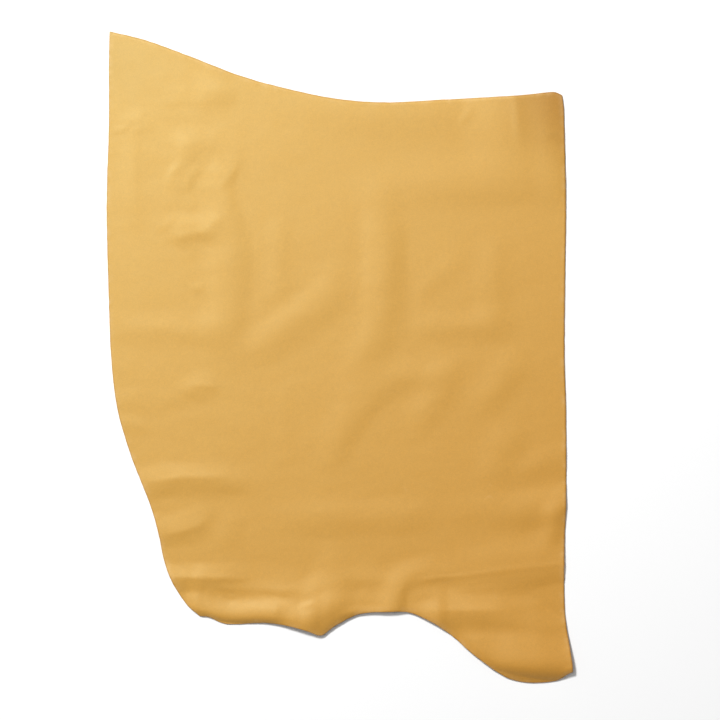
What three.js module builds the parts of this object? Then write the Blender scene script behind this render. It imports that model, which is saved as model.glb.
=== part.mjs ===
// A leather hide lying flat, grain side up.
// Millimetres, +Z up. The origin is the middle of the hide's outline, on the surface that it lies on.
import * as THREE from 'three';

// Driving dimensions
const thickness = 1.6;
const columns = 48; // cells from the left edge to the right edge
const rows = 56; // cells from the bottom edge to the top edge
const rowGrading = 1.3; // above 1, the rows crowd towards the rolled bottom edge
const restDepth = 0.5; // how far the hide would sink between its folds if nothing held it up
const contactBlend = 0.5; // height over which a fold eases down onto the surface
const leastLift = 0.02; // a place lifted by less than this rests on the surface
const foldFade = 0.4; // share of a fold's length over which each end dies away
const crestSteps = 24; // straight steps that a fold's crest is measured in

// The four edges, as x and y along each, meeting at the four corners.
const bottomEdge = [
  [-191, -352.5], [-178, -354], [-166, -359.5], [-152, -363.5], [-126, -362.5], [-104, -362],
  [-78, -364], [-62, -367.5], [-44, -372.5], [-26, -379], [-10, -368.5], [8, -358],
  [30, -349], [62, -347], [92, -347.5], [110, -353.5], [132, -364.5], [158, -383.5],
  [174, -398.5], [192, -412.5], [214, -428], [240, -441], [268, -444], [298, -440],
  [318, -434],
];
const topEdge = [
  [-314, 444], [-267, 432.5], [-202, 409], [-136, 383.5], [-71, 365.5], [-5, 352],
  [60, 347], [142, 351], [240, 356], [298, 360.5], [303, 357],
];
const leftEdge = [
  [-191, -352.5], [-208, -338], [-222, -318], [-232, -299], [-240, -277], [-248, -237],
  [-261, -195], [-285, -134], [-303, -72], [-311, -11], [-315, 78], [-318, 210],
  [-315, 316], [-315, 405], [-314, 444],
];
const rightEdge = [
  [318, -434], [315, -409], [307, -352], [306, -262], [308, -200], [308, -70],
  [306, 0], [307, 120], [308, 208], [306, 310], [304.5, 350], [303, 357],
];

// Folds. Each is a soft ridge whose crest runs through the points given, and which dies away over
// its reach to the left and to the right. A rolled one drops off to the right like a turned-down hem.
const folds = [
  // bottom left corner
  { rise: 3.5, left: 32, right: 28,
    crest: [[-330, -176], [-262, -172], [-220, -167], [-160, -168], [-84, -172]] },
  { rise: 2.8, left: 32, right: 26,
    crest: [[-310, -242], [-240, -239], [-215, -234], [-195, -228], [-176, -214], [-160, -190]] },
  { rise: 3.9, left: 26, right: 20,
    crest: [[-400, -304], [-222, -303], [-180, -301], [-140, -299], [-80, -300]] },
  { rise: 1.6, left: 24, right: 32,
    crest: [[-170, -275], [-150, -232], [-134, -195]] },
  { rise: 6.5, left: 26, right: 15, rolled: true,
    crest: [[-236, -312], [-200, -337], [-180, -345], [-140, -349], [-100, -347], [-70, -352], [-14, -372]] },
  // the flap that hangs down beside it
  { rise: 2.6, left: 38, right: 28,
    crest: [[-72, -420], [-48, -368], [-30, -342], [-10, -306]] },
  { rise: 2.4, left: 36, right: 40,
    crest: [[-42, -352], [-24, -318], [-10, -286], [6, -230]] },
  { rise: 4, left: 30, right: 30, rolled: true,
    crest: [[-66, -392], [-38, -360], [-20, -349], [4, -341], [34, -338]] },
  { rise: 3.5, left: 30, right: 16, rolled: true,
    crest: [[-20, -349], [12, -338], [36, -339], [64, -345], [100, -352]] },
  // bottom right corner
  { rise: 3.5, left: 34, right: 16,
    crest: [[53, -400], [73, -345], [80, -322], [93, -304], [122, -296], [180, -296]] },
  { rise: 3.8, left: 55, right: 38,
    crest: [[90, -302], [160, -297], [200, -293], [250, -289], [300, -287], [440, -280]] },
  { rise: 3.8, left: 30, right: 27,
    crest: [[60, -351], [115, -347], [140, -345], [180, -345], [220, -347], [300, -352], [390, -356]] },
  { rise: 2.4, left: 26, right: 8, rolled: true,
    crest: [[86, -344], [112, -350], [134, -361], [154, -375], [180, -397]] },
  { rise: 14.5, left: 62, right: 37, rolled: true,
    crest: [[136, -376], [180, -391], [220, -400], [260, -406], [295, -405], [420, -396]] },
  // left side
  { rise: 1.5, left: 20, right: 16,
    crest: [[-340, -88], [-245, -100]] },
  { rise: 0.8, left: 20, right: 15,
    crest: [[-350, -15], [-260, -20]] },
  { rise: 1.2, left: 24, right: 30,
    crest: [[-370, -60], [-230, -60]] },
  { rise: 2, left: 32, right: 28,
    crest: [[-360, 41], [-240, 36], [-170, 36], [-110, 36]] },
  { rise: 1.6, left: 16, right: 17,
    crest: [[-222, -46], [-205, -43], [-185, -41], [-155, -43]] },
  { rise: 1.2, left: 24, right: 26,
    crest: [[-260, -62], [-165, -30]] },
  // middle
  { rise: 2.7, left: 28, right: 46,
    crest: [[-160, -34], [-130, 0], [-80, 40], [-25, 80], [-3, 120], [10, 180]] },
  { rise: 3.3, left: 46, right: 40,
    crest: [[-168, -50], [-158, 30], [-152, 80], [-150, 130], [-152, 180], [-150, 250]] },
  { rise: 1.6, left: 28, right: 34,
    crest: [[-88, 40], [-85, 130], [-80, 225]] },
  { rise: 3.9, left: 44, right: 38,
    crest: [[18, -62], [43, 0], [56, 45], [60, 100], [60, 160], [54, 215], [44, 275]] },
  { rise: 1, left: 50, right: 28,
    crest: [[-5, -95], [12, -40], [30, 10], [34, 60]] },
  { rise: 1, left: 26, right: 22,
    crest: [[-72, -170], [-78, -10]] },
  { rise: 2.5, left: 44, right: 28,
    crest: [[-44, -194], [-8, -132], [4, -104], [22, -77], [44, -52], [72, -33], [105, -24], [160, -22]] },
  { rise: 2.2, left: 36, right: 36,
    crest: [[-140, -222], [-20, -219], [60, -217], [130, -214], [190, -214]] },
  { rise: 1.6, left: 34, right: 34,
    crest: [[120, -206], [200, -208], [260, -212], [320, -214]] },
  // right side
  { rise: 2, left: 30, right: 26,
    crest: [[60, 36], [120, 40], [170, 41], [215, 44], [280, 52]] },
  { rise: 1.2, left: 32, right: 20,
    crest: [[50, -30], [105, -23], [150, -17], [190, -8]] },
  { rise: 2.2, left: 36, right: 36,
    crest: [[92, -124], [112, -85], [124, -62], [138, -38], [152, -18], [164, 12]] },
  { rise: 2.3, left: 44, right: 30,
    crest: [[166, -94], [198, -64], [214, -44], [228, -24], [244, -6], [262, 24]] },
  { rise: 2.2, left: 42, right: 30,
    crest: [[186, -200], [212, -150], [224, -126], [238, -104], [258, -76]] },
  { rise: 1.8, left: 30, right: 28,
    crest: [[196, -190], [240, -158], [270, -146], [305, -136], [380, -128]] },
  { rise: 2.8, left: 34, right: 40,
    crest: [[190, -208], [260, -204], [300, -198], [420, -190]] },
  { rise: 1.6, left: 24, right: 20,
    crest: [[266, -290], [286, -240], [300, -205], [330, -166]] },
  { rise: 1.3, left: 28, right: 26,
    crest: [[88, 52], [116, 94], [140, 116], [160, 134], [182, 166]] },
  { rise: 1.9, left: 40, right: 32,
    crest: [[206, 0], [214, 200]] },
  // top left corner
  { rise: 3, left: 28, right: 21,
    crest: [[-248, 160], [-222, 168], [-200, 172], [-178, 175], [-150, 186]] },
  { rise: 2.2, left: 40, right: 20,
    crest: [[-148, 150], [-153, 205], [-160, 232], [-148, 262], [-130, 304]] },
  { rise: 1.7, left: 18, right: 28,
    crest: [[-230, 208], [-218, 248], [-214, 272], [-200, 314]] },
  { rise: 1.6, left: 24, right: 26,
    crest: [[-270, 272], [-240, 285], [-215, 291], [-175, 296], [-120, 292]] },
  { rise: 0.9, left: 26, right: 14,
    crest: [[-292, 332], [-262, 348], [-232, 357], [-190, 355], [-140, 357], [-80, 350]] },
  { rise: 1.1, left: 26, right: 16,
    crest: [[-380, 318], [-300, 319], [-275, 317], [-252, 324], [-222, 340]] },
  { rise: 1.3, left: 30, right: 18,
    crest: [[-278, 140], [-276, 360]] },
  { rise: 1.3, left: 36, right: 30,
    crest: [[-168, 310], [-170, 370], [-172, 440]] },
  // top edge and top right corner
  { rise: 2, left: 22, right: 60,
    crest: [[-190, 400], [-70, 356], [0, 339], [80, 335], [160, 337], [280, 346]] },
  { rise: 6.5, left: 80, right: 60, rolled: true,
    crest: [[250, 205], [244, 255], [240, 310], [240, 350], [242, 400], [244, 520]] },
  { rise: 2.3, left: 56, right: 38,
    crest: [[-20, 222], [80, 230], [160, 233], [260, 231], [400, 228]] },
];

const edgeCurve = (points) => {
  const along = points.map(([x, y]) => new THREE.Vector3(x, y, 0));
  return new THREE.CatmullRomCurve3(along, false, 'centripetal');
};

const bottom = edgeCurve(bottomEdge);
const top = edgeCurve(topEdge);
const left = edgeCurve(leftEdge);
const right = edgeCurve(rightEdge);

// How much of a fold is left at a share of its length.
function fade(share) {
  return THREE.MathUtils.smoothstep(Math.min(share, 1 - share), 0, foldFade);
}

// The crests as chains of short steps.
const ridges = folds.map((fold) => {
  const points = edgeCurve(fold.crest).getSpacedPoints(crestSteps);
  const steps = points.slice(1).map((point, index) => {
    return { start: points[index], run: point.clone().sub(points[index]) };
  });
  const [start, end] = [points[0], points.at(-1)];
  return { fold, steps, start, run: end.clone().sub(start), box: new THREE.Box3().setFromPoints(points) };
});

function shareAlong({ start, run }, place) {
  return place.clone().sub(start).dot(run) / run.lengthSq();
}

// The height that a ridge has at a place, from its distance to the nearest step of the crest.
function ridgeHeight(ridge, place) {
  const { rise, left: leftReach, right: rightReach, rolled = false } = ridge.fold;
  const remains = fade(shareAlong(ridge, place));
  if (remains === 0 || ridge.box.distanceToPoint(place) > Math.max(leftReach, rightReach)) return 0;
  let nearest = Infinity;
  let onLeft = false;
  for (const step of ridge.steps) {
    const share = THREE.MathUtils.clamp(shareAlong(step, place), 0, 1);
    const away = place.clone().sub(step.start).addScaledVector(step.run, -share);
    if (away.length() < nearest) {
      nearest = away.length();
      onLeft = step.run.x * away.y > step.run.y * away.x;
    }
  }
  const across = Math.min(nearest / (onLeft ? leftReach : rightReach), 1);
  return rise * remains * (1 - across ** 2) ** (rolled && !onLeft ? 1 : 2);
}

// Height of the flesh side: the folds added up, eased onto the surface where they would go below it.
function undersideHeight(x, y) {
  const place = new THREE.Vector3(x, y, 0);
  const raised = ridges.reduce((sum, ridge) => sum + ridgeHeight(ridge, place), -restDepth);
  if (raised >= contactBlend) return raised;
  const eased = Math.max(raised + contactBlend, 0) ** 2 / (4 * contactBlend);
  return eased < leastLift ? 0 : eased;
}

function surfaceNormal(x, y) {
  const step = 1;
  const slopeX = (undersideHeight(x + step, y) - undersideHeight(x - step, y)) / (2 * step);
  const slopeY = (undersideHeight(x, y + step) - undersideHeight(x, y - step)) / (2 * step);
  return new THREE.Vector3(-slopeX, -slopeY, 1).normalize();
}

// A place on the outlined sheet: the four edges blended, so the grid follows all of them.
function placeAt(column, row) {
  const bottomPoint = bottom.getPoint(column / columns);
  const u = (bottomPoint.x - bottomEdge[0][0]) / (bottomEdge.at(-1)[0] - bottomEdge[0][0]);
  const v = (row / rows) ** rowGrading;
  const [leftPoint, rightPoint, topPoint] = [left.getPointAt(v), right.getPointAt(v), top.getPointAt(u)];
  const place = new THREE.Vector3();
  place.addScaledVector(bottomPoint, 1 - v).addScaledVector(topPoint, v);
  place.addScaledVector(leftPoint, 1 - u).addScaledVector(rightPoint, u);
  place.addScaledVector(left.getPoint(0), (u - 1) * (1 - v));
  place.addScaledVector(right.getPoint(0), -u * (1 - v));
  place.addScaledVector(left.getPoint(1), (u - 1) * v);
  return place.addScaledVector(right.getPoint(1), -u * v);
}

function hideGeometry() {
  const stride = columns + 1;
  const layer = stride * (rows + 1);
  const flesh = [];
  const grain = [];
  for (let row = 0; row <= rows; row += 1) {
    for (let column = 0; column <= columns; column += 1) {
      const place = placeAt(column, row);
      place.z = undersideHeight(place.x, place.y);
      flesh.push(...place.toArray());
      grain.push(...place.addScaledVector(surfaceNormal(place.x, place.y), thickness).toArray());
    }
  }

  const faces = [];
  const quad = (a, b, c, d) => faces.push(a, b, c, a, c, d);
  for (let row = 0; row < rows; row += 1) {
    for (let column = 0; column < columns; column += 1) {
      const corner = row * stride + column;
      quad(corner, corner + stride, corner + stride + 1, corner + 1);
      quad(corner + layer, corner + layer + 1, corner + layer + stride + 1, corner + layer + stride);
    }
  }
  for (let column = 0; column < columns; column += 1) {
    const near = column;
    const far = rows * stride + column;
    quad(near, near + 1, near + 1 + layer, near + layer);
    quad(far + 1, far, far + layer, far + 1 + layer);
  }
  for (let row = 0; row < rows; row += 1) {
    const near = row * stride;
    const far = near + columns;
    quad(near + stride, near, near + layer, near + stride + layer);
    quad(far, far + stride, far + stride + layer, far + layer);
  }

  const geometry = new THREE.BufferGeometry();
  geometry.setAttribute('position', new THREE.Float32BufferAttribute([...flesh, ...grain], 3));
  geometry.setIndex(faces);
  geometry.computeBoundingBox();
  const middle = geometry.boundingBox.getCenter(new THREE.Vector3());
  geometry.translate(-middle.x, -middle.y, -geometry.boundingBox.min.z);
  geometry.computeVertexNormals();
  return geometry;
}

const leather = new THREE.MeshStandardMaterial({ color: '#dba961', roughness: 0.5, metalness: 0 });
const hide = new THREE.Mesh(hideGeometry(), leather);
hide.name = 'hide';

const part = new THREE.Group();
part.add(hide);

export default part;
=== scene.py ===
import bmesh
import bpy
import numpy as np
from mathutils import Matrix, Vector, kdtree, noise


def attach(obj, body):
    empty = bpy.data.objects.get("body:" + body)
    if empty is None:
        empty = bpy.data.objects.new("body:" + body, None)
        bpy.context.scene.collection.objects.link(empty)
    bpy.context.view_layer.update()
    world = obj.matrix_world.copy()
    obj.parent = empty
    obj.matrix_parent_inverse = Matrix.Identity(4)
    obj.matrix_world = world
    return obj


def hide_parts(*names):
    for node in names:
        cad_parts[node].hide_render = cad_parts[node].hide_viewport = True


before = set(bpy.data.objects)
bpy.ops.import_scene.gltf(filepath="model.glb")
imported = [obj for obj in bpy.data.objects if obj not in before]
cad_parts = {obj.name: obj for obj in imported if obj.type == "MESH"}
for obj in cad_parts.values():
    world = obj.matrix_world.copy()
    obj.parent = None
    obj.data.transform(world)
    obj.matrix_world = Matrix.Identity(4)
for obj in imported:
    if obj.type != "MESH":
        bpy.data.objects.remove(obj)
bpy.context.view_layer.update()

mm = 0.001


# --- small helpers ---

def deselectAll():
    for thing in bpy.context.selected_objects:
        thing.select_set(False)


def makeActive(thing):
    deselectAll()
    thing.select_set(True)
    bpy.context.view_layer.objects.active = thing


def newMaterial(name):
    material = bpy.data.materials.new(name)
    material.use_nodes = True
    material.node_tree.nodes.clear()
    return material, material.node_tree


def addNode(tree, kind, inputs=None, **settings):
    node = tree.nodes.new(kind)
    for key, value in settings.items():
        setattr(node, key, value)
    for key, value in (inputs or {}).items():
        if isinstance(value, bpy.types.NodeSocket):
            tree.links.new(value, node.inputs[key])
        else:
            node.inputs[key].default_value = value
    return node


def mixColour(tree, factor, first, second, blend="MIX"):
    node = addNode(tree, "ShaderNodeMix", data_type="RGBA", blend_type=blend)
    for socket, value in zip((node.inputs[0], node.inputs[6], node.inputs[7]), (factor, first, second)):
        if isinstance(value, bpy.types.NodeSocket):
            tree.links.new(value, socket)
        else:
            socket.default_value = value
    return node.outputs[2]


def calc(tree, operation, first, second=0.0, third=0.0):
    node = addNode(tree, "ShaderNodeMath", operation=operation)
    for socket, value in zip(node.inputs, (first, second, third)):
        if isinstance(value, bpy.types.NodeSocket):
            tree.links.new(value, socket)
        else:
            socket.default_value = value
    return node.outputs[0]


def remap(tree, value, fromLow, fromHigh, toLow, toHigh):
    node = addNode(tree, "ShaderNodeMapRange", {
        "Value": value, "From Min": fromLow, "From Max": fromHigh, "To Min": toLow, "To Max": toHigh,
    })
    return node.outputs[0]


def noiseOf(tree, place, size, detail=2.0, roughness=0.5, stretch=(1, 1, 1)):
    # a noise whose blobs are about size metres across
    mapping = addNode(tree, "ShaderNodeMapping", {"Vector": place, "Scale": [s / size for s in stretch]})
    node = addNode(tree, "ShaderNodeTexNoise", {
        "Vector": mapping.outputs[0], "Scale": 1.0, "Detail": detail, "Roughness": roughness,
    })
    return node.outputs[0]


def vectorMath(tree, operation, first, second=(0, 0, 0)):
    return addNode(tree, "ShaderNodeVectorMath", {0: first, 1: second}, operation=operation)


def multiplied(tree, colour, value, low, high):
    # the colour made darker or paler by a noise: from low where the noise is 0.25 to high where it is 0.75
    grey = remap(tree, value, 0.25, 0.75, low, high)
    tint = addNode(tree, "ShaderNodeCombineColor", {"Red": grey, "Green": grey, "Blue": grey})
    return mixColour(tree, 1.0, colour, tint.outputs[0], "MULTIPLY")


def bump(tree, height, distance, strength, normal=None):
    inputs = {"Height": height, "Distance": distance, "Strength": strength}
    if normal is not None:
        inputs["Normal"] = normal
    return addNode(tree, "ShaderNodeBump", inputs).outputs[0]


def warped(tree, place, size, shift):
    # the place pushed about a little, so that cells are not regular
    mapping = addNode(tree, "ShaderNodeMapping", {"Vector": place, "Scale": (1 / size,) * 3})
    push = addNode(tree, "ShaderNodeTexNoise", {"Vector": mapping.outputs[0], "Scale": 1.0, "Detail": 1.0})
    centred = vectorMath(tree, "SUBTRACT", push.outputs["Color"], (0.5, 0.5, 0.5))
    scaled = vectorMath(tree, "MULTIPLY", centred.outputs[0], (2 * shift,) * 3)
    return vectorMath(tree, "ADD", place, scaled.outputs[0]).outputs[0]


def offsetFrom(tree, place, centre, angle=0.0):
    # the place seen from a centre given in mm, turned by an angle
    return addNode(tree, "ShaderNodeMapping", {
        "Vector": place, "Location": (centre[0] * mm, centre[1] * mm, 0),
        "Rotation": (0, 0, np.radians(angle)),
    }, vector_type="TEXTURE").outputs[0]


def blotch(tree, place, centre, size, angle=0.0):
    # 1 in the middle of an oval patch with half-axes in mm, falling to 0 at its border
    offset = offsetFrom(tree, place, centre, angle)
    scaled = vectorMath(tree, "MULTIPLY", offset, (1 / (size[0] * mm), 1 / (size[1] * mm), 0))
    distance = vectorMath(tree, "LENGTH", scaled.outputs[0])
    return addNode(tree, "ShaderNodeMapRange", {
        "Value": distance.outputs["Value"], "From Min": 1.0, "From Max": 0.0, "To Min": 0.0, "To Max": 1.0,
    }, interpolation_type="SMOOTHSTEP").outputs[0]


# --- camera, floor and light ---

view = dict(
    lookAt=(0.0273, -0.0040),   # the camera looks straight down on this place
    frameWidth=0.982,           # width of the surface that fills the picture
    height=2.4,
    sensor=36.0,
)


def addCamera():
    data = bpy.data.cameras.new("camera")
    data.sensor_width = view["sensor"]
    data.lens = view["sensor"] * view["height"] / view["frameWidth"]
    data.clip_end = 50
    camera = bpy.data.objects.new("camera", data)
    bpy.context.collection.objects.link(camera)
    camera.location = (*view["lookAt"], view["height"])
    bpy.context.scene.camera = camera


studio = dict(
    floorSize=8.0,
    floorColour=(0.94, 0.94, 0.94, 1),
    floorDrop=0.0001,
    skyColour=(1.0, 1.0, 1.0, 1),
    skyStrength=0.20,
    lamps=[
        dict(name="key", place=(-2.76, 3.77, 4.52), size=1.2, power=480.0),
        dict(name="overhead", place=(-0.6, 0.8, 3.0), size=2.4, power=23.0),
    ],
)


def addFloor():
    deselectAll()
    bpy.ops.mesh.primitive_plane_add(size=studio["floorSize"], location=(0, 0, -studio["floorDrop"]))
    floor = bpy.context.object
    floor.name = "floor"
    material, tree = newMaterial("paleFloor")
    shader = addNode(tree, "ShaderNodeBsdfPrincipled", {
        "Base Color": studio["floorColour"], "Roughness": 0.9, "Specular IOR Level": 0.2,
    })
    addNode(tree, "ShaderNodeOutputMaterial", {"Surface": shader.outputs[0]})
    floor.data.materials.append(material)


def addLights():
    world = bpy.data.worlds.new("studio")
    bpy.context.scene.world = world
    world.use_nodes = True
    sky = world.node_tree.nodes["Background"]
    sky.inputs["Color"].default_value = studio["skyColour"]
    sky.inputs["Strength"].default_value = studio["skyStrength"]
    for lamp in studio["lamps"]:
        data = bpy.data.lights.new(lamp["name"], "AREA")
        data.shape = "DISK"
        data.size = lamp["size"]
        data.energy = lamp["power"]
        light = bpy.data.objects.new(lamp["name"], data)
        bpy.context.collection.objects.link(light)
        light.location = lamp["place"]
        light.rotation_euler = (-Vector(lamp["place"])).to_track_quat("-Z", "Y").to_euler()


# --- the hide ---

hide = dict(
    thickness=1.6 * mm,
    levels=2,               # each cell of the solid's grain side becomes 16
    topFacing=0.55,         # a face of the solid that points up at least this much is its grain side
    joinAngle=3.1,          # radians: wide enough to join all the triangles into quads
    foldShare=0.62,         # how much of the solid's folds is kept
    creaseShare=0.85,       # what the rise of every crease below is multiplied by
    wrinkleStep=7.3,        # how far apart in the noise two patches of wrinkles are
    edgeWander=0.35 * mm,   # how far the cut edge strays
    edgeWanderLength=9 * mm,
    edgeRound=0.25 * mm,
    edgeAngle=0.9,          # radians: only the corners of the cut edge are as sharp as this
    wearAndShadeReach=12 * mm,      # how far in from the cut the handling shows, and the painted shade along the cut within its last fifth
    flatSize=(0.636, 0.888),
    flatArea=0.455,         # square metres, with what the folds take up
)

# Creases, in mm. Each is a ridge along the line, dying away over its reach on the left and on the right,
# and towards both ends over the share of its length called fade. One with a negative rise is a trough.
# A crisp one comes to a sharper top, and a rolled one drops off on the right like a turned-down edge.
creases = [
    # bottom left corner
    dict(rise=0.7, left=12, right=10, shape="crisp",
         line=[(-262, -300), (-225, -300), (-175, -301), (-110, -303)]),
    dict(rise=0.6, left=10, right=12, shape="crisp",
         line=[(-275, -174), (-250, -169), (-215, -164), (-175, -163), (-140, -166)]),
    dict(rise=0.6, left=14, right=10, shape="crisp",
         line=[(-246, -243), (-215, -238), (-196, -231), (-182, -221), (-176, -212)]),
    dict(rise=2.6, left=55, right=9, shape="rolled", fade=0.15,
         line=[(-212, -323), (-196, -340), (-178, -345), (-164, -350), (-150, -354), (-126, -353),
               (-104, -353), (-86, -354), (-70, -358)]),
    dict(rise=-3.4, left=26, right=44,
         line=[(-210, -332), (-160, -338), (-100, -340), (-30, -342)]),
    dict(rise=0.5, left=8, right=6, shape="rolled",
         line=[(-238, -270), (-228, -298), (-216, -318), (-202, -336)]),
    # the flap beside it
    dict(rise=1.0, left=16, right=16,
         line=[(-70, -322), (-69, -345), (-66, -372)]),
    dict(rise=5.0, left=90, right=40, fade=0.5,
         line=[(-160, -357), (-112, -361), (-60, -371), (-26, -384), (12, -396)]),
    dict(rise=2.4, left=70, right=20, fade=0.5,
         line=[(10, -346), (58, -348), (104, -348)]),
    dict(rise=1.8, left=60, right=20, fade=0.5,
         line=[(84, -342), (124, -358), (164, -382)]),
    dict(rise=1.5, left=32, right=52, fade=0.3,
         line=[(-110, -352), (-84, -345), (-60, -337), (-38, -328), (-14, -316), (10, -306), (40, -301),
               (64, -301)]),
    dict(rise=0.8, left=40, right=28, shape="rolled", fade=0.3,
         line=[(-50, -388), (-38, -366), (-26, -348), (-8, -338), (14, -333), (40, -334)]),
    dict(rise=-2.6, left=36, right=14,
         line=[(-6, -340), (20, -336), (50, -337), (84, -342)]),
    dict(rise=2.0, left=60, right=11, shape="rolled", fade=0.1,
         line=[(-30, -369), (-12, -359), (6, -349), (28, -340.5), (60, -339), (90, -339.5),
               (108, -345), (130, -356), (150, -369)]),
    dict(rise=0.4, left=6, right=8,
         line=[(-60, -341), (-45, -337), (-28, -333)]),
    # bottom right corner
    dict(rise=0.5, left=5, right=8, shape="crisp", fade=0.15,
         line=[(92, -307), (104, -303), (140, -300), (180, -296), (230, -289), (290, -283), (322, -280)]),
    dict(rise=0.25, left=5, right=8, shape="crisp",
         line=[(150, -318), (200, -315), (250, -311)]),
    dict(rise=0.9, left=14, right=24,
         line=[(86, -362), (93, -340), (99, -324), (114, -312), (140, -306)]),
    dict(rise=2.5, left=50, right=32,
         line=[(104, -338), (124, -344), (146, -351), (180, -347), (222, -347), (262, -350)]),
    dict(rise=0.7, left=12, right=14, shape="crisp",
         line=[(118, -343), (150, -345), (190, -344), (235, -346)]),
    dict(rise=2.7, left=46, right=15, shape="rolled", fade=0.2,
         line=[(150, -354), (176, -384), (200, -402), (222, -413), (262, -422), (296, -426), (330, -424),
               (375, -418)]),
    dict(rise=-2.6, left=34, right=30, fade=0.25,
         line=[(176, -378), (215, -393), (260, -397), (300, -396), (345, -392)]),
    dict(rise=-3.0, left=60, right=44,
         line=[(326, -470), (324, -400), (314, -330), (306, -280)]),
    # right edge
    dict(rise=1.4, left=20, right=16, shape="rolled",
         line=[(298, -260), (292, -236), (290, -212), (296, -190)]),
    dict(rise=1.1, left=34, right=13, shape="rolled",
         line=[(297, 180), (295, 240), (291, 300), (290, 350), (291, 400)]),
    # top right corner
    dict(rise=0.9, left=12, right=22, shape="crisp",
         line=[(245, 275), (241, 320), (237, 352), (236, 410)]),
    dict(rise=0.5, left=6, right=12,
         line=[(268, 306), (290, 303), (316, 304)]),
    dict(rise=0.35, left=7, right=6,
         line=[(158, 312), (175, 330), (181, 350)]),
    # left side
    dict(rise=0.7, left=9, right=12, shape="crisp",
         line=[(-232, 163), (-205, 167), (-172, 173)]),
    dict(rise=0.25, left=8, right=9,
         line=[(-168, 226), (-150, 245), (-136, 266)]),
    dict(rise=0.45, left=9, right=9,
         line=[(-238, 226), (-228, 250), (-212, 272)]),
    dict(rise=0.4, left=8, right=9,
         line=[(-214, 222), (-202, 246), (-184, 268)]),
    dict(rise=0.35, left=8, right=8,
         line=[(-256, 168), (-238, 180), (-222, 196)]),
    dict(rise=0.35, left=8, right=7, shape="crisp",
         line=[(-270, 345), (-200, 348), (-145, 352)]),
    dict(rise=0.4, left=6, right=6,
         line=[(-322, 307), (-302, 309), (-284, 313)]),
    dict(rise=0.3, left=6, right=7,
         line=[(-290, 307), (-270, 311), (-250, 318)]),
    dict(rise=0.6, left=8, right=10, shape="crisp",
         line=[(-212, -37), (-190, -38), (-160, -41)]),
    dict(rise=0.4, left=8, right=12,
         line=[(-208, 94), (-196, 96), (-182, 97)]),
]

# Where the rim curls up and draws in, in mm: the shift at the centre, dying away over the reach.
curls = [
    dict(centre=(320, -441), reach=27, shift=(-1.0, 7.0, 3.5)),
]

# Patches of fine wrinkles, in mm and degrees. The last two cover the whole hide.
wrinkles = [
    dict(centre=(-230, 250), reach=210, angle=4, spacing=15, length=60, rise=0.34),
    dict(centre=(-190, 215), reach=85, angle=52, spacing=13, length=45, rise=0.25),
    dict(centre=(-180, -60), reach=190, angle=-6, spacing=17, length=60, rise=0.26),
    dict(centre=(60, 60), reach=260, angle=58, spacing=22, length=90, rise=0.18),
    dict(centre=(60, -260), reach=240, angle=28, spacing=20, length=80, rise=0.22),
    dict(centre=(0, 0), reach=900, angle=20, spacing=52, length=75, rise=0.60),
    dict(centre=(0, 0), reach=900, angle=10, spacing=14, length=30, rise=0.22),
]


def grainSide(node):
    # the upward faces of the CAD solid, merged into one layer of quads
    piece = bpy.data.objects.new("leatherHide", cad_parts[node].data.copy())
    bpy.context.collection.objects.link(piece)
    piece.data.materials.clear()
    sheet = bmesh.new()
    sheet.from_mesh(piece.data)
    bmesh.ops.remove_doubles(sheet, verts=sheet.verts, dist=0.01 * mm)
    sheet.normal_update()
    others = [face for face in sheet.faces if face.normal.z < hide["topFacing"]]
    bmesh.ops.delete(sheet, geom=others, context="FACES")
    bmesh.ops.join_triangles(sheet, faces=sheet.faces, angle_face_threshold=hide["joinAngle"],
                             angle_shape_threshold=hide["joinAngle"])
    sheet.to_mesh(piece.data)
    sheet.free()
    return piece


def placesOf(mesh):
    flat = np.empty(len(mesh.vertices) * 3)
    mesh.vertices.foreach_get("co", flat)
    return flat.reshape(-1, 3)


def setPlaces(mesh, places):
    mesh.vertices.foreach_set("co", places.ravel())
    mesh.update()


def subdivide(piece):
    # Catmull-Clark rounds folds off, so the corners are pushed out until they land where they were
    smooth = piece.modifiers.new("smooth", "SUBSURF")
    smooth.levels = smooth.render_levels = hide["levels"]
    smooth.boundary_smooth = "PRESERVE_CORNERS"
    wanted = placesOf(piece.data)
    for _ in range(3):
        fine = piece.evaluated_get(bpy.context.evaluated_depsgraph_get()).to_mesh()
        landed = placesOf(fine)[:len(wanted)]
        setPlaces(piece.data, placesOf(piece.data) + wanted - landed)
        piece.to_mesh_clear()
    makeActive(piece)
    bpy.ops.object.modifier_apply(modifier=smooth.name)


def curveThrough(points, stepsEach=8):
    # a smooth line through the points, in metres
    points = np.array(points, float) * mm
    ends = np.vstack([2 * points[0] - points[1], points, 2 * points[-1] - points[-2]])
    t = np.linspace(0, 1, stepsEach, endpoint=False)[:, None]
    spans = []
    for a, b, c, d in zip(ends, ends[1:], ends[2:], ends[3:]):
        bend = 2 * a - 5 * b + 4 * c - d
        spans.append(0.5 * (2 * b + (c - a) * t + bend * t**2 + (3 * b - a - 3 * c + d) * t**3))
    return np.vstack(spans + [points[-1:]])


def softStep(value):
    value = np.clip(value, 0, 1)
    return value**2 * (3 - 2 * value)


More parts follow.
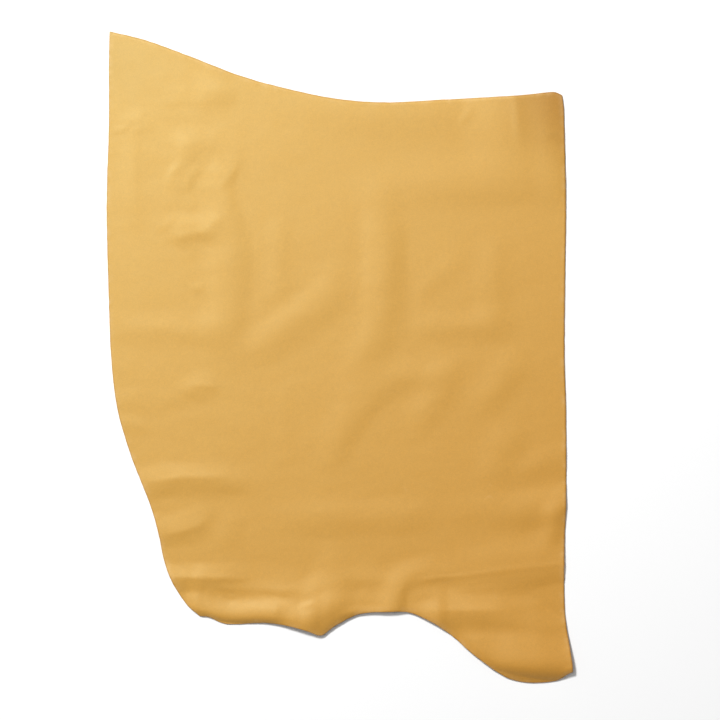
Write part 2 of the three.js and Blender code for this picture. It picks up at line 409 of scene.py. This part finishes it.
def creaseHeight(crease, spots):
    line = curveThrough(crease["line"])
    nearest = np.full(len(spots), np.inf)
    onLeft = np.zeros(len(spots), bool)
    for start, run in zip(line, np.diff(line, axis=0)):
        away = spots - start
        away = away - np.outer(np.clip(away @ run / (run @ run), 0, 1), run)
        gap = np.hypot(away[:, 0], away[:, 1])
        closer = gap < nearest
        nearest[closer] = gap[closer]
        onLeft[closer] = (run[0] * away[:, 1] > run[1] * away[:, 0])[closer]
    reach = np.where(onLeft, crease["left"], crease["right"]) * mm
    across = np.minimum(nearest / reach, 1)
    shape = crease.get("shape", "soft")
    profile = (1 - across)**2 if shape == "crisp" else (1 - across**2)**2
    if shape == "rolled":
        profile = np.where(onLeft, profile, 1 - across**2)
    chord = line[-1] - line[0]
    share = (spots - line[0]) @ chord / (chord @ chord)
    rise = hide["creaseShare"] * crease["rise"] * mm
    return rise * profile * softStep(np.minimum(share, 1 - share) / crease.get("fade", 0.35))


def addCreases(places):
    for crease in creases:
        line = np.array(crease["line"]) * mm
        reach = max(crease["left"], crease["right"]) * mm
        inside = (places[:, :2] > line.min(0) - reach) & (places[:, :2] < line.max(0) + reach)
        near = np.flatnonzero(inside.all(axis=1))
        places[near, 2] += creaseHeight(crease, places[near, :2])


def addWrinkles(places):
    for order, patch in enumerate(wrinkles):
        turn = np.radians(patch["angle"])
        offset = places[:, :2] - np.array(patch["centre"]) * mm
        along = (offset[:, 0] * np.cos(turn) + offset[:, 1] * np.sin(turn)) / (patch["length"] * mm)
        across = (offset[:, 1] * np.cos(turn) - offset[:, 0] * np.sin(turn)) / (patch["spacing"] * mm)
        remains = 1 - softStep(np.hypot(offset[:, 0], offset[:, 1]) / (patch["reach"] * mm))
        for vertex in np.flatnonzero(remains > 0.01):
            wave = noise.noise(Vector((along[vertex], across[vertex], hide["wrinkleStep"] * order)))
            places[vertex, 2] += patch["rise"] * mm * remains[vertex] * (0.5 + 0.5 * wave)


def curlRim(places):
    for curl in curls:
        away = np.linalg.norm(places[:, :2] - np.array(curl["centre"]) * mm, axis=1) / (curl["reach"] * mm)
        places += np.outer((1 - np.minimum(away, 1)**2)**2, np.array(curl["shift"]) * mm)


def rimOf(mesh):
    # the loop of vertices round the outline, in order
    shape = bmesh.new()
    shape.from_mesh(mesh)
    shape.verts.ensure_lookup_table()
    start = next(edge for edge in shape.edges if edge.is_boundary)
    loop = [start.verts[0], start.verts[1]]
    while True:
        onward = [edge for edge in loop[-1].link_edges if edge.is_boundary]
        following = [edge.other_vert(loop[-1]) for edge in onward]
        fresh = [vertex for vertex in following if vertex != loop[-2]]
        if fresh[0] == loop[0]:
            break
        loop.append(fresh[0])
    order = np.array([vertex.index for vertex in loop])
    shape.free()
    return order


def roughenEdge(places, rim):
    around = places[rim, :2]
    tangent = np.roll(around, -1, axis=0) - np.roll(around, 1, axis=0)
    tangent /= np.linalg.norm(tangent, axis=1)[:, None]
    for order, vertex in enumerate(rim):
        spot = Vector((*around[order], 0)) / hide["edgeWanderLength"]
        stray = hide["edgeWander"] * noise.noise(spot)
        places[vertex, 0] += stray * tangent[order, 1]
        places[vertex, 1] -= stray * tangent[order, 0]


def markWearAndShade(mesh, places, rim):
    # 1 on the cut edge, falling to 0 inside the hide
    tree = kdtree.KDTree(len(rim))
    for order, vertex in enumerate(rim):
        tree.insert(places[vertex], order)
    tree.balance()
    wearAndShade = [max(0, 1 - tree.find(place)[2] / hide["wearAndShadeReach"]) for place in places]
    mesh.attributes.new("edgeWearAndShade", "FLOAT", "POINT").data.foreach_set("value", wearAndShade)


def makeHide():
    piece = grainSide("hide")
    print("hide: grain side", len(piece.data.polygons), "faces,",
          sum(len(face.vertices) != 4 for face in piece.data.polygons), "not quads")
    subdivide(piece)
    places = placesOf(piece.data)
    places[:, 2] = hide["thickness"] + (places[:, 2] - hide["thickness"]) * hide["foldShare"]
    addCreases(places)
    places[:, 2] = np.maximum(places[:, 2], hide["thickness"])
    addWrinkles(places)
    curlRim(places)
    rim = rimOf(piece.data)
    roughenEdge(places, rim)
    setPlaces(piece.data, places)
    markWearAndShade(piece.data, places, rim)
    print("hide: creases and wrinkles,", len(rim), "corners round the outline")
    piece.data.shade_smooth()
    solid = piece.modifiers.new("thickness", "SOLIDIFY")
    solid.thickness = hide["thickness"]
    solid.offset = -1
    solid.use_quality_normals = True
    solid.material_offset = 1
    solid.material_offset_rim = 2
    rounding = piece.modifiers.new("rounding", "BEVEL")
    rounding.width = hide["edgeRound"]
    rounding.segments = 1
    rounding.angle_limit = hide["edgeAngle"]
    rounding.material = 2
    rounding.use_clamp_overlap = False
    for modifier in (solid.name, rounding.name):
        makeActive(piece)
        bpy.ops.object.modifier_apply(modifier=modifier)
    print("hide: solid", sum(len(face.vertices) - 2 for face in piece.data.polygons), "triangles")
    for make in (grainLeather, fleshLeather, cutEdgeLeather):
        piece.data.materials.append(make())
    return piece


leather = dict(
    pale=(0.616, 0.344, 0.064, 1),      # top left end of the painted light, paler where the light falls
    deep=(0.590, 0.268, 0.032, 1),      # bottom right end of the painted light, deeper where less light falls
    corner=(0.74, 0.61, 0.42, 1),       # painted shade: what the top right corner's colour is multiplied by, darker and browner where it turns away from the light
    pore=(0.78, 0.74, 0.68, 1),         # what furrows and hair holes are multiplied by
    scuff=(0.74, 0.50, 0.24, 1),
    wornEdgeAndShade=(0.74, 0.66, 0.56, 1),     # what the last 2 mm before the cut are multiplied by: partly wear, partly painted shade where the edge turns down
    rubbed=(0.80, 0.56, 0.30, 1),
    grainSize=0.9 * mm,
    roughness=0.47,
    specular=1.0,
    gloss=(0.80, 1.0, 0.70, 1),         # the satin finish lights up yellow, so shaded sides look browner
    flesh=(0.56, 0.40, 0.235, 1),
    fleshDark=(0.42, 0.285, 0.155, 1),
    cutEdge=(0.20, 0.10, 0.042, 1),
    cutEdgePale=(0.30, 0.165, 0.075, 1),
)

# Small marks on the grain side, in mm: real spots and scratches, painted highlights along two fine creases,
# and painted shade below creases and at the top left corner. A pale one is above 1, a dark one below.
marks = [
    dict(centre=(-255, 322), size=(3.0, 1.6), angle=10, tone=1.12),
    dict(centre=(248, -239), size=(6.0, 0.9), angle=-28, tone=0.90),
    dict(centre=(4, -331), size=(1.8, 1.4), angle=0, tone=1.15),
    # painted highlights along two fine creases near the top left
    dict(centre=(-204, 341), size=(62.0, 1.2), angle=2, tone=1.03),
    dict(centre=(-290, 313), size=(26.0, 1.2), angle=-6, tone=1.04),
    # painted shade on the shaded sides of two small creases
    dict(centre=(-195, 85), size=(7.0, 4.5), angle=20, tone=0.955),
    dict(centre=(292, 303), size=(14.0, 6.0), angle=15, tone=0.94),
    # painted shade that tones down the painted light at the top left corner
    dict(centre=(-310, 400), size=(130.0, 95.0), angle=0, tone=0.94),
]


def grainLeather():
    material, tree = newMaterial("grainLeather")
    place = addNode(tree, "ShaderNodeTexCoord").outputs["Object"]
    parts = addNode(tree, "ShaderNodeSeparateXYZ", {"Vector": place})
    wearAndShade = addNode(tree, "ShaderNodeAttribute", attribute_name="edgeWearAndShade").outputs["Fac"]

    # painted light: paler towards the top left corner where the light falls, deeper towards the bottom
    # right, with soft clouds of real tone
    paintedLightSlant = calc(tree, "SUBTRACT", parts.outputs["X"], parts.outputs["Y"])
    clouds = noiseOf(tree, place, 110 * mm, detail=3.0)
    paintedLightSlant = calc(tree, "MULTIPLY_ADD", clouds, 0.16, calc(tree, "SUBTRACT", paintedLightSlant, 0.08))
    paintedShadeDepth = remap(tree, paintedLightSlant, -0.70, 0.72, 0.0, 1.0)
    tan = mixColour(tree, paintedShadeDepth, leather["pale"], leather["deep"])
    # painted shade: the top right corner darkened where it slopes away from the light
    corner = blotch(tree, place, (330, 385), (150, 150))
    tan = mixColour(tree, corner, tan, leather["corner"], "MULTIPLY")

    # mottling from the finish, and pores
    mottle = noiseOf(tree, place, 5 * mm, detail=3.0, roughness=0.6)
    tan = multiplied(tree, tan, mottle, 0.97, 1.03)
    speckle = noiseOf(tree, place, 1.7 * mm, detail=1.0)
    tan = multiplied(tree, tan, speckle, 0.95, 1.05)
    cells = addNode(tree, "ShaderNodeTexVoronoi", {
        "Vector": warped(tree, place, 6 * mm, 0.5 * mm), "Scale": 1 / leather["grainSize"],
    }, feature="DISTANCE_TO_EDGE").outputs["Distance"]
    furrow = remap(tree, cells, 0.0, 0.16, 1.0, 0.0)
    hairs = addNode(tree, "ShaderNodeTexVoronoi", {
        "Vector": place, "Scale": 1 / (2.6 * mm), "Randomness": 1.0,
    }, feature="F1").outputs["Distance"]
    hole = remap(tree, hairs, 0.0, 0.10, 1.0, 0.0)
    tan = mixColour(tree, calc(tree, "MULTIPLY", furrow, 0.16), tan, leather["pore"], "MULTIPLY")
    tan = mixColour(tree, calc(tree, "MULTIPLY", hole, 0.45), tan, leather["pore"], "MULTIPLY")

    # scratches: thin broken lines at two angles
    scuffs = 0.0
    for angle, gap in ((28, 46 * mm), (-64, 58 * mm)):
        lane = offsetFrom(tree, place, (0, 0), angle)
        line = noiseOf(tree, lane, gap, detail=0.0, stretch=(0.35, 1, 1))
        thin = remap(tree, calc(tree, "ABSOLUTE", calc(tree, "SUBTRACT", line, 0.5)), 0.0, 0.0035, 1.0, 0.0)
        broken = remap(tree, noiseOf(tree, lane, 30 * mm, detail=1.0), 0.60, 0.70, 0.0, 1.0)
        scuffs = calc(tree, "MULTIPLY_ADD", thin, broken, scuffs)
    tan = mixColour(tree, calc(tree, "MULTIPLY", scuffs, 0.12), tan, leather["scuff"])
    # the marks: real spots and scratches, with painted highlights and painted shade at creases and the top
    # left corner
    for mark in marks:
        spot = blotch(tree, place, mark["centre"], mark["size"], mark["angle"])
        tan = mixColour(tree, spot, tan, (mark["tone"],) * 3 + (1,), "MULTIPLY")

    # the rim is handled most, so it is rubbed pale here and there; the darkening along the cut is partly
    # wear and partly painted shade where the edge turns down
    rubbed = remap(tree, noiseOf(tree, place, 14 * mm, detail=4.0, roughness=0.7), 0.45, 0.65, 0.0, 1.0)
    # partly wear, partly painted shade: the last 2 mm before the cut darkened
    border = remap(tree, wearAndShade, 0.80, 1.0, 0.0, 1.0)
    tan = mixColour(tree, border, tan, leather["wornEdgeAndShade"], "MULTIPLY")
    nearRim = remap(tree, wearAndShade, 0.3, 1.0, 0.0, 0.22)
    tan = mixColour(tree, calc(tree, "MULTIPLY", nearRim, rubbed), tan, leather["rubbed"])

    # roughness
    satin = remap(tree, noiseOf(tree, place, 24 * mm, detail=4.0), 0.3, 0.7, -0.05, 0.05)
    rough = calc(tree, "ADD", satin, leather["roughness"])
    rough = calc(tree, "MULTIPLY_ADD", furrow, 0.10, rough)
    rough = calc(tree, "MULTIPLY_ADD", wearAndShade, 0.06, rough)
    rough = calc(tree, "MULTIPLY_ADD", scuffs, 0.12, rough)

    # bump: drape wrinkles, then grain cells, then the finest skin texture
    ripple = noiseOf(tree, place, 9 * mm, detail=3.0, roughness=0.55)
    rippled = bump(tree, ripple, 0.10 * mm, 1.0)
    cellHeight = calc(tree, "MULTIPLY_ADD", hole, -0.9, remap(tree, cells, 0.0, 0.30, 0.0, 1.0))
    grained = bump(tree, cellHeight, 0.05 * mm, 0.8, rippled)
    fine = noiseOf(tree, place, 0.35 * mm, detail=2.0)
    normal = bump(tree, calc(tree, "MULTIPLY_ADD", scuffs, -0.3, fine), 0.02 * mm, 0.7, grained)

    shader = addNode(tree, "ShaderNodeBsdfPrincipled", {
        "Base Color": tan, "Roughness": rough, "Normal": normal,
        "Specular IOR Level": leather["specular"], "Specular Tint": leather["gloss"],
        "Coat Weight": 0.06, "Coat Roughness": 0.38, "Sheen Weight": 0.05, "Sheen Roughness": 0.4,
        "Sheen Tint": (1.0, 0.86, 0.62, 1),
    })
    addNode(tree, "ShaderNodeOutputMaterial", {"Surface": shader.outputs[0]})
    return material


def fleshLeather():
    material, tree = newMaterial("fleshLeather")
    place = addNode(tree, "ShaderNodeTexCoord").outputs["Object"]
    clouds = noiseOf(tree, place, 60 * mm, detail=4.0, roughness=0.6)
    fibres = noiseOf(tree, warped(tree, place, 12 * mm, 3 * mm), 1.6 * mm, detail=4.0, roughness=0.7,
                     stretch=(1, 0.3, 1))
    cloudy = remap(tree, clouds, 0.3, 0.7, 0.0, 1.0)
    colour = mixColour(tree, cloudy, leather["flesh"], leather["fleshDark"])
    colour = multiplied(tree, colour, fibres, 0.87, 1.12)
    rough = remap(tree, fibres, 0.3, 0.7, 0.98, 0.86)
    nap = bump(tree, fibres, 0.18 * mm, 0.9)
    fuzz = noiseOf(tree, place, 0.4 * mm, detail=3.0)
    normal = bump(tree, fuzz, 0.06 * mm, 0.7, nap)
    shader = addNode(tree, "ShaderNodeBsdfPrincipled", {
        "Base Color": colour, "Roughness": rough, "Normal": normal, "Specular IOR Level": 0.2,
        "Sheen Weight": 0.35, "Sheen Roughness": 0.6, "Sheen Tint": (0.95, 0.80, 0.60, 1),
    })
    addNode(tree, "ShaderNodeOutputMaterial", {"Surface": shader.outputs[0]})
    return material


def cutEdgeLeather():
    material, tree = newMaterial("cutEdgeLeather")
    place = addNode(tree, "ShaderNodeTexCoord").outputs["Object"]
    along = noiseOf(tree, place, 7 * mm, detail=4.0, roughness=0.65)
    fibres = noiseOf(tree, place, 0.5 * mm, detail=3.0, roughness=0.7, stretch=(0.4, 0.4, 1.6))
    uneven = remap(tree, along, 0.35, 0.65, 0.0, 1.0)
    colour = mixColour(tree, uneven, leather["cutEdge"], leather["cutEdgePale"])
    colour = multiplied(tree, colour, fibres, 0.67, 1.20)
    rough = remap(tree, along, 0.3, 0.7, 0.72, 0.92)
    normal = bump(tree, fibres, 0.12 * mm, 0.9)
    shader = addNode(tree, "ShaderNodeBsdfPrincipled", {
        "Base Color": colour, "Roughness": rough, "Normal": normal, "Specular IOR Level": 0.3,
        "Sheen Weight": 0.1, "Sheen Roughness": 0.5,
    })
    addNode(tree, "ShaderNodeOutputMaterial", {"Surface": shader.outputs[0]})
    return material


# --- put together ---

bpy.context.scene.view_settings.view_transform = "Standard"
addCamera()
addFloor()
addLights()
print("stage ready")

hidePiece = makeHide()
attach(hidePiece, "root")
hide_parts("hide")
print("hide ready")
